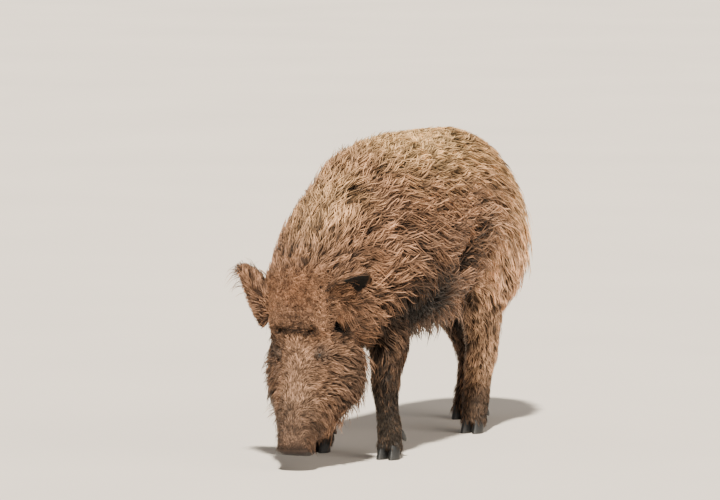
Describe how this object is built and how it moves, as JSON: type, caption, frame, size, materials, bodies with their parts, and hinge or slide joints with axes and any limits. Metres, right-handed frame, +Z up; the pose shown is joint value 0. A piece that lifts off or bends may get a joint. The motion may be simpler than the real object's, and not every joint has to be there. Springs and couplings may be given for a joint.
{
  "type": "wild boar",
  "caption": "Still, life-size model of a shaggy brown wild boar, standing with its head lowered straight down to root in the ground.",
  "frame": {"origin": "on the floor, under the middle of the model's bounding box", "axes": "+Z up; -Y is the way the boar faces, so +Y runs along the body to the tail; +X is the boar's left side"},
  "size_m": [0.4074, 1.44, 0.8198],
  "materials": {
    "coat": "shaggy tan-brown guard hair in clumped locks, darker on the belly and the lower legs",
    "eye": "wet dark brown eye",
    "horn": "dull dark grey hoof horn with fine ridges"
  },
  "bodies": {
    "root": {"head": "coat", "jaw": "coat", "snout": "coat", "neck": "coat", "trunk": "coat", "tail": "coat", "leg_front_left": "coat", "leg_front_right": "coat", "leg_hind_left": "coat", "leg_hind_right": "coat", "ear_left": "coat", "ear_right": "coat", "eye_left": "eye", "eye_right": "eye", "claw_front_left_outer": "horn", "dewclaw_front_left_outer": "horn", "claw_front_left_inner": "horn", "dewclaw_front_left_inner": "horn", "claw_front_right_outer": "horn", "dewclaw_front_right_outer": "horn", "claw_front_right_inner": "horn", "dewclaw_front_right_inner": "horn", "claw_hind_left_outer": "horn", "dewclaw_hind_left_outer": "horn", "claw_hind_left_inner": "horn", "dewclaw_hind_left_inner": "horn", "claw_hind_right_outer": "horn", "dewclaw_hind_right_outer": "horn", "claw_hind_right_inner": "horn", "dewclaw_hind_right_inner": "horn"}
  },
  "joints": []
}
